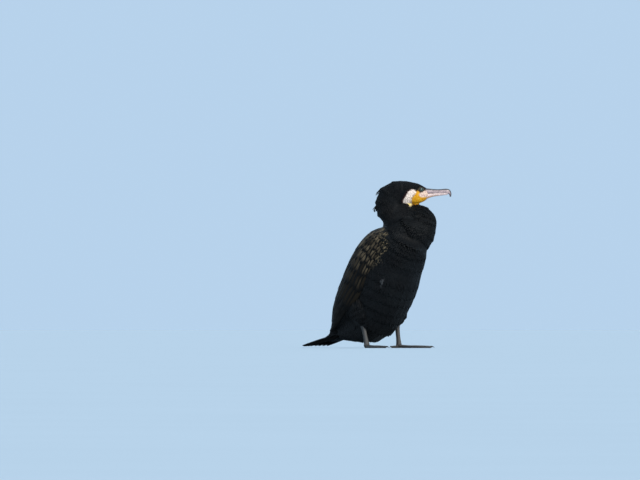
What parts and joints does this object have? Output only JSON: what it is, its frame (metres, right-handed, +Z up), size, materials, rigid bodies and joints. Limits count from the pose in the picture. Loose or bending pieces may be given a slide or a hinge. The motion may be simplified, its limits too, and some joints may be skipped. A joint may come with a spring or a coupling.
{
  "type": "great cormorant",
  "caption": "Life-size still model of a great cormorant standing upright on webbed feet, neck folded, head turned to its left, wings closed, tail on the floor.",
  "frame": {"origin": "on the floor under the middle of the object's box", "axes": "+X the way the body faces, +Y the bird's left, +Z up"},
  "size_m": [0.443, 0.211, 0.4599],
  "materials": {
    "plumage": "satin black body feathers with a faint blue-green gloss",
    "wing_feathers": "bronze-brown feathers with glossy black borders",
    "tail_feathers": "matt black stiff feathers",
    "horn": "pinkish grey horn, darker along the ridge",
    "throat_skin": "orange-yellow bare skin",
    "eye": "wet green iris with a black pupil",
    "leg_skin": "dark scaly skin"
  },
  "bodies": {
    "root": {"torso": "plumage", "neck_lower": "plumage", "neck_upper": "plumage", "head": "plumage", "bill_upper": "horn", "bill_lower": "horn", "gular_pouch": "throat_skin", "eye_left": "eye", "eye_right": "eye", "tail": "tail_feathers", "thigh_left": "plumage", "thigh_right": "plumage", "tarsus_left": "leg_skin", "tarsus_right": "leg_skin", "foot_left": "leg_skin", "foot_right": "leg_skin", "wing_left": "wing_feathers", "wing_right": "wing_feathers"}
  },
  "joints": []
}
